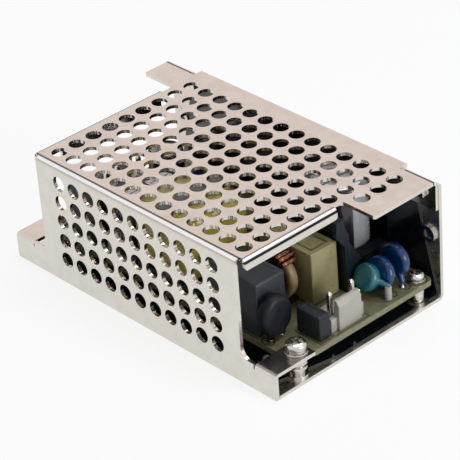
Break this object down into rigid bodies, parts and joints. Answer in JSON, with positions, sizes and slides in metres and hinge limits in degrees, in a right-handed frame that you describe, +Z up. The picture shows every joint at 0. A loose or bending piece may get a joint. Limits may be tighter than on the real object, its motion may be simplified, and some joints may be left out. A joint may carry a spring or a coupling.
{
  "type": "open frame power supply",
  "caption": "Open frame mains power supply: populated circuit board in a folded, perforated metal case with both ends open for plug headers.",
  "frame": {"origin": "middle of the underside of the whole part's bounding box", "axes": "+X along the case towards the mains input end, +Y from the perforated wall to the plain wall, +Z up from the case's bottom"},
  "size_m": [0.1034, 0.062, 0.037],
  "materials": {
    "case_metal": "satin, brushed along the length",
    "film_black": "glossy black sheet",
    "board_olive": "satin laminate",
    "plated_steel": "bright nickel plate",
    "black_moulding": "satin black",
    "grey_moulding": "dark grey box",
    "yellow_moulding": "yellow box",
    "white_moulding": "off-white nylon",
    "tin_plate": "bright tin",
    "teal_lacquer": "dipped lacquer",
    "blue_lacquer": "dipped lacquer",
    "dark_lacquer": "dipped lacquer",
    "can_sleeve": "shrunk dark sleeve",
    "sink_grey": "dark anodised plate",
    "ferrite": "sintered ferrite",
    "ring_coat": "tan epoxy coat",
    "yellow_tape": "polyester tape",
    "copper_wire": "enamelled copper",
    "resistor_lacquer": "lacquered body",
    "trimmer_blue": "moulded",
    "lamp_green": "tinted clear resin"
  },
  "bodies": {
    "root": {"case_cover": "case_metal", "case_base": "case_metal", "insulation_film": "film_black", "circuit_board": "board_olive", "board_screws": "plated_steel", "ledge_screws": "plated_steel", "ledge_pillars": "plated_steel", "board_standoffs": "plated_steel", "tab_screws": "plated_steel", "side_inserts": "plated_steel", "bottom_inserts": "plated_steel", "line_fuse": "black_moulding", "bridge_rectifier": "black_moulding", "optocoupler": "black_moulding", "control_chip": "black_moulding", "switching_transistor": "black_moulding", "output_rectifier": "black_moulding", "choke_base": "black_moulding", "transformer_bobbin": "black_moulding", "feedback_capacitor": "black_moulding", "grey_filter_capacitor": "grey_moulding", "yellow_filter_capacitor": "yellow_moulding", "input_header": "white_moulding", "output_header": "white_moulding", "input_header_pins": "tin_plate", "output_header_pins": "tin_plate", "teal_safety_capacitor": "teal_lacquer", "blue_safety_capacitor_a": "blue_lacquer", "blue_safety_capacitor_b": "blue_lacquer", "inrush_thermistor": "dark_lacquer", "bulk_capacitor": "can_sleeve", "output_capacitor_a": "can_sleeve", "output_capacitor_b": "can_sleeve", "output_capacitor_c": "can_sleeve", "supply_capacitor": "can_sleeve", "primary_heatsink": "sink_grey", "output_heatsink": "sink_grey", "transformer_core": "ferrite", "output_inductor": "ferrite", "choke_core": "ring_coat", "transformer_winding": "yellow_tape", "choke_winding": "copper_wire", "output_resistors": "resistor_lacquer", "snubber_resistor": "resistor_lacquer", "voltage_trimmer": "trimmer_blue", "indicator_lamp": "lamp_green"}
  },
  "joints": []
}
